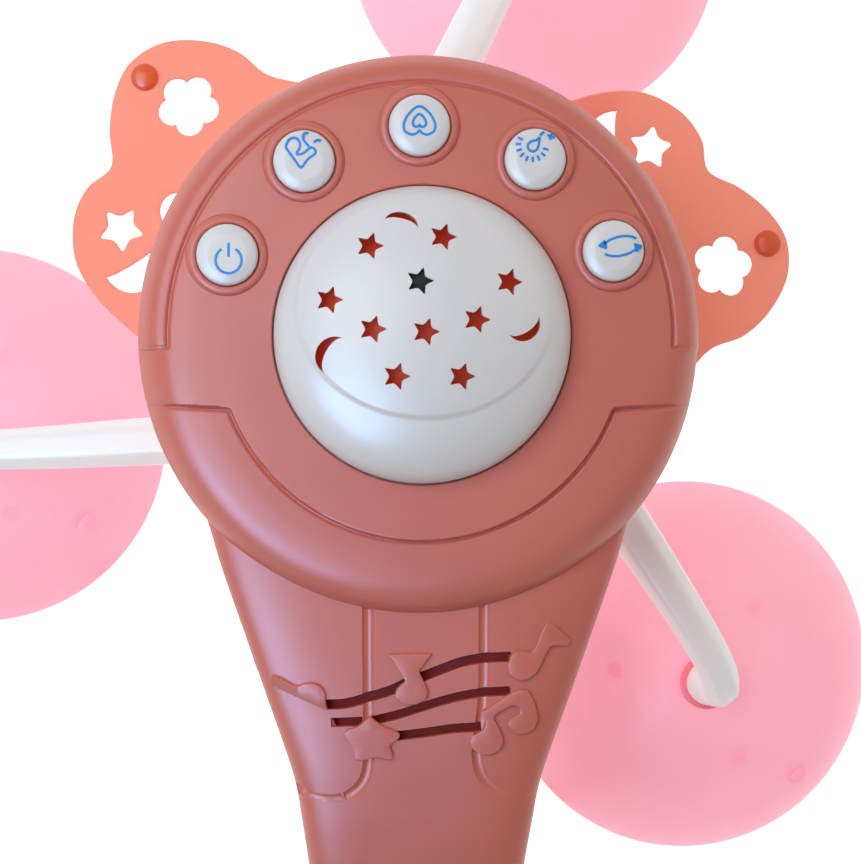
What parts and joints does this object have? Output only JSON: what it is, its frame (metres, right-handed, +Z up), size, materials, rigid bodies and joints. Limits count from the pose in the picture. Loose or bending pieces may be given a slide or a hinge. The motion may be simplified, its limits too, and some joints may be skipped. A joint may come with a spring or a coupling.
{
  "type": "crib mobile",
  "caption": "Rail-clamped crib mobile: a round music and night-light head turns leaf plates and canopies on arms under a curved neck.",
  "frame": {"origin": "middle of the fixed jaw's rubber face, which bears on the crib rail", "axes": "+Z up along the pole, +Y from the rail towards the head over the crib, +X to the right seen from the rail"},
  "size_m": [0.3198, 0.4766, 0.4869],
  "materials": {
    "rose_housing": "satin moulded",
    "white_plastic": "soft gloss moulded",
    "arm_plastic": "milky translucent",
    "leaf_plastic": "translucent coral",
    "canopy_plastic": "translucent pink",
    "light_filter": "smoked dark red",
    "black_plastic": "satin",
    "circuit_board": "solder mask",
    "grey_rubber": "moulded",
    "steel": "plain",
    "brass": "machined",
    "gear_plastic": "natural acetal",
    "cell_wrap": "printed wrap"
  },
  "bodies": {
    "frame": {"head_top_shell": "rose_housing", "head_bottom_shell": "rose_housing", "battery_cover": "rose_housing", "arch_arm": "rose_housing", "pole_upper": "rose_housing", "pole_lower": "rose_housing", "clamp_bracket": "rose_housing", "projector_dome": "white_plastic", "light_chassis": "white_plastic", "projector_lamp": "white_plastic", "pole_collar": "white_plastic", "light_filter": "light_filter", "speaker_cone": "black_plastic", "gearbox_case": "black_plastic", "lamp_board": "circuit_board", "main_board": "circuit_board", "button_keypad": "grey_rubber", "jaw_pad": "grey_rubber", "seat_pad": "grey_rubber", "speaker_frame": "steel", "motor_can": "steel", "battery_contact_front": "steel", "battery_contact_rear": "steel", "battery_cover_screw": "steel", "shell_screw_1": "steel", "shell_screw_2": "steel", "shell_screw_3": "steel", "shell_screw_4": "steel", "shaft_bush": "gear_plastic", "battery_1": "cell_wrap", "battery_2": "cell_wrap", "battery_3": "cell_wrap"},
    "rotor": {"main_gear": "gear_plastic", "output_shaft": "steel", "rotor_hub": "white_plastic", "leaf_clamp_ring": "white_plastic", "hub_nut": "white_plastic", "leaf_1": "leaf_plastic", "leaf_2": "leaf_plastic", "leaf_3": "leaf_plastic", "arm_1": "arm_plastic", "arm_2": "arm_plastic", "arm_3": "arm_plastic", "canopy_cap_1": "white_plastic", "canopy_cap_2": "white_plastic", "canopy_cap_3": "white_plastic"},
    "drive_pinion": {"motor_pinion": "brass"},
    "clamp_knob": {"clamp_knob": "white_plastic"},
    "pressure_pad": {"pressure_plate": "white_plastic", "pressure_pad": "grey_rubber"},
    "button_power": {"button_power": "white_plastic"},
    "button_melody": {"button_melody": "white_plastic"},
    "button_heart": {"button_heart": "white_plastic"},
    "button_light": {"button_light": "white_plastic"},
    "button_rotate": {"button_rotate": "white_plastic"},
    "canopy_1": {"canopy_1": "canopy_plastic"},
    "canopy_2": {"canopy_2": "canopy_plastic"},
    "canopy_3": {"canopy_3": "canopy_plastic"}
  },
  "joints": [
    {"name": "rotor_turn", "type": "hinge", "parent": "frame", "child": "rotor", "pos_m": [0, 0.19, 0.37], "axis": [0, 0, 1], "continuous": true},
    {"name": "pinion_turn", "type": "hinge", "parent": "frame", "child": "drive_pinion", "pos_m": [0.02865, 0.19, 0.402], "axis": [0, 0, 1], "continuous": true},
    {"name": "press_rotate", "type": "slide", "parent": "frame", "child": "button_rotate", "axis": [0, 0, -1], "range_m": [0, 0.0012], "stiffness_N_per_m": 400, "springref_m": -0.0005},
    {"name": "press_light", "type": "slide", "parent": "frame", "child": "button_light", "axis": [0, 0, -1], "range_m": [0, 0.0012], "stiffness_N_per_m": 400, "springref_m": -0.0005},
    {"name": "press_heart", "type": "slide", "parent": "frame", "child": "button_heart", "axis": [0, 0, -1], "range_m": [0, 0.0012], "stiffness_N_per_m": 400, "springref_m": -0.0005},
    {"name": "press_melody", "type": "slide", "parent": "frame", "child": "button_melody", "axis": [0, 0, -1], "range_m": [0, 0.0012], "stiffness_N_per_m": 400, "springref_m": -0.0005},
    {"name": "press_power", "type": "slide", "parent": "frame", "child": "button_power", "axis": [0, 0, -1], "range_m": [0, 0.0012], "stiffness_N_per_m": 400, "springref_m": -0.0005},
    {"name": "canopy_1_swivel", "type": "hinge", "parent": "rotor", "child": "canopy_1", "pos_m": [0.08498, 0.09495, 0.325], "axis": [0, 0, 1], "continuous": true},
    {"name": "canopy_2_swivel", "type": "hinge", "parent": "rotor", "child": "canopy_2", "pos_m": [0.03982, 0.31112, 0.325], "axis": [0, 0, 1], "continuous": true},
    {"name": "canopy_3_swivel", "type": "hinge", "parent": "rotor", "child": "canopy_3", "pos_m": [-0.12481, 0.16393, 0.325], "axis": [0, 0, 1], "continuous": true},
    {"name": "pad_slide", "type": "slide", "parent": "frame", "child": "pressure_pad", "axis": [0, 1, 0], "range_m": [0, 0.022]},
    {"name": "knob_turn", "type": "hinge", "parent": "pressure_pad", "child": "clamp_knob", "pos_m": [0, -0.09, 0], "axis": [0, 1, 0], "range_deg": [0, 1980]}
  ],
  "couplings": [
    {"joint": "pinion_turn", "follows": "rotor_turn", "ratio": -3},
    {"joint": "knob_turn", "follows": "pad_slide", "rad_per_m": 1570.8}
  ]
}
